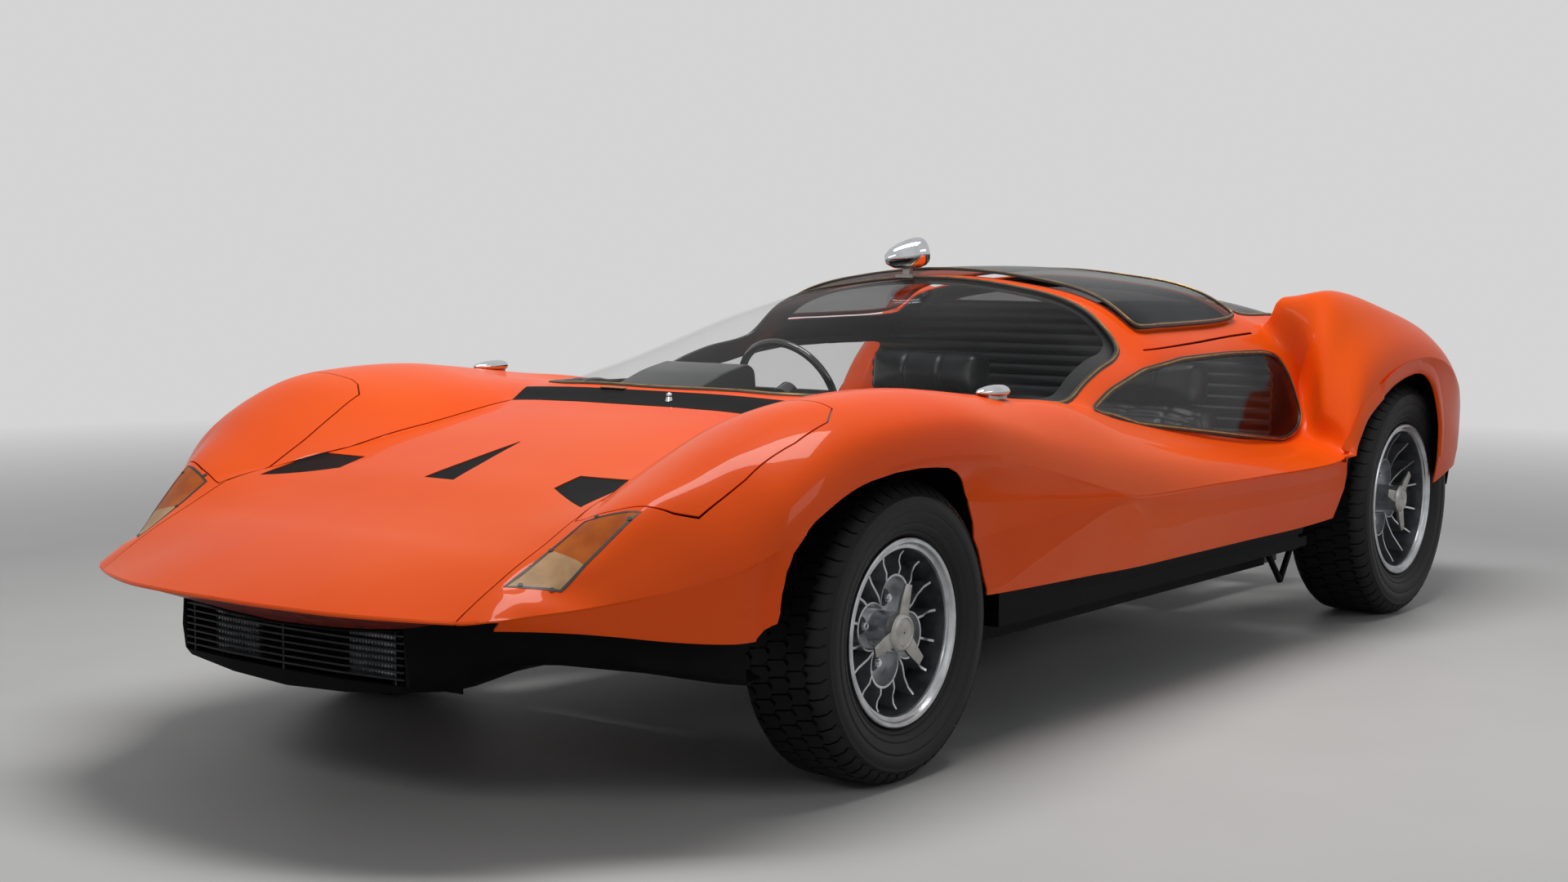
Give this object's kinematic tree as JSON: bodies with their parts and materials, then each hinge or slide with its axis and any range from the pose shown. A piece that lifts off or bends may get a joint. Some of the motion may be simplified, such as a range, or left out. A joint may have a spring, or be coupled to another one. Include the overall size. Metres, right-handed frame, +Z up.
{
  "type": "wedge sports car",
  "caption": "Low wedge-shaped two-seat sports car with a lifting hood, sliding glass roof, rear engine cover, steered front wheels and finned alloy wheels.",
  "frame": {"origin": "on the ground, in the middle of the car's length and width", "axes": "+X towards the nose, +Y to the car's left, +Z up"},
  "size_m": [4.094, 1.648, 1.031],
  "materials": {
    "orange_paint": "glossy painted fibreglass",
    "black_matte": "matte black",
    "black_chassis": "satin black paint",
    "clear_glass": "clear glass",
    "tinted_glass": "dark blue tinted glass",
    "amber_lens": "moulded lens",
    "red_lens": "moulded lens",
    "chrome": "polished",
    "seal": "rubber seal with brass bead",
    "leather": "padded black leather",
    "steering_rim": "glossy black rim",
    "steel": "machined steel",
    "engine_iron": "cast iron",
    "wheel_alloy": "cast, satin grey",
    "tyre_rubber": "black tyre",
    "lamp_glass": "lamp reflector behind glass"
  },
  "bodies": {
    "car": {"body_shell": "orange_paint", "fender_panels": "orange_paint", "windscreen": "clear_glass", "rear_glass": "tinted_glass", "quarter_glasses": "clear_glass", "nose_lamps": "amber_lens", "tail_lamps": "red_lens", "tail_panel": "black_matte", "cowl_strip": "black_matte", "roof_runners": "black_chassis", "floor_pan": "black_chassis", "centre_tunnel": "black_chassis", "side_sills": "black_matte", "wheel_houses": "black_matte", "chin_valance": "black_matte", "grille_slats": "black_matte", "headlamps": "lamp_glass", "roof_mirror": "chrome", "fender_mirrors": "chrome", "steering_column": "steel", "dashboard": "leather", "cabin_rear_wall": "leather", "seat_left": "leather", "seat_right": "leather", "engine": "engine_iron", "exhaust": "steel", "front_axle": "black_chassis", "rear_axle": "black_chassis"},
    "hood": {"hood_lid": "orange_paint", "hood_inserts": "black_matte"},
    "engine_cover": {"engine_lid": "orange_paint"},
    "roof": {"roof_frame": "seal", "roof_glass": "tinted_glass"},
    "steering_wheel": {"steering_wheel": "steering_rim"},
    "knuckle_left": {"knuckle_left": "steel"},
    "knuckle_right": {"knuckle_right": "steel"},
    "wheel_front_left": {"front_rim_left": "wheel_alloy", "front_tyre_left": "tyre_rubber"},
    "wheel_front_right": {"front_rim_right": "wheel_alloy", "front_tyre_right": "tyre_rubber"},
    "wheel_rear_left": {"rear_rim_left": "wheel_alloy", "rear_tyre_left": "tyre_rubber"},
    "wheel_rear_right": {"rear_rim_right": "wheel_alloy", "rear_tyre_right": "tyre_rubber"}
  },
  "joints": [
    {"name": "hood_lift", "type": "hinge", "parent": "car", "child": "hood", "pos_m": [0.949, 0, 0.66], "axis": [0, -1, 0], "range_deg": [0, 50]},
    {"name": "engine_cover_lift", "type": "hinge", "parent": "car", "child": "engine_cover", "pos_m": [-1.415, 0, 0.803], "axis": [0, 1, 0], "range_deg": [0, 50]},
    {"name": "roof_slide", "type": "slide", "parent": "car", "child": "roof", "axis": [-1, 0, 0], "range_m": [0, 0.45]},
    {"name": "steering_wheel_turn", "type": "hinge", "parent": "car", "child": "steering_wheel", "pos_m": [0.007, -0.3, 0.64], "axis": [-0.9135, 0, 0.4067], "range_deg": [-420, 420]},
    {"name": "steer_left", "type": "hinge", "parent": "car", "child": "knuckle_left", "pos_m": [1.037, 0.59, 0.288], "axis": [0, 0, 1], "range_deg": [-28.5, 28.5]},
    {"name": "steer_right", "type": "hinge", "parent": "car", "child": "knuckle_right", "pos_m": [1.037, -0.59, 0.288], "axis": [0, 0, 1], "range_deg": [-28.5, 28.5]},
    {"name": "spin_front_left", "type": "hinge", "parent": "knuckle_left", "child": "wheel_front_left", "pos_m": [1.037, 0.662, 0.288], "axis": [0, 1, 0], "continuous": true},
    {"name": "spin_rear_left", "type": "hinge", "parent": "car", "child": "wheel_rear_left", "pos_m": [-1.407, 0.67, 0.32], "axis": [0, 1, 0], "continuous": true},
    {"name": "spin_front_right", "type": "hinge", "parent": "knuckle_right", "child": "wheel_front_right", "pos_m": [1.037, -0.662, 0.288], "axis": [0, 1, 0], "continuous": true},
    {"name": "spin_rear_right", "type": "hinge", "parent": "car", "child": "wheel_rear_right", "pos_m": [-1.407, -0.67, 0.32], "axis": [0, 1, 0], "continuous": true}
  ],
  "couplings": [
    {"joint": "steer_left", "follows": "steering_wheel_turn", "ratio": 0.066667},
    {"joint": "steer_right", "follows": "steering_wheel_turn", "ratio": 0.066667}
  ]
}
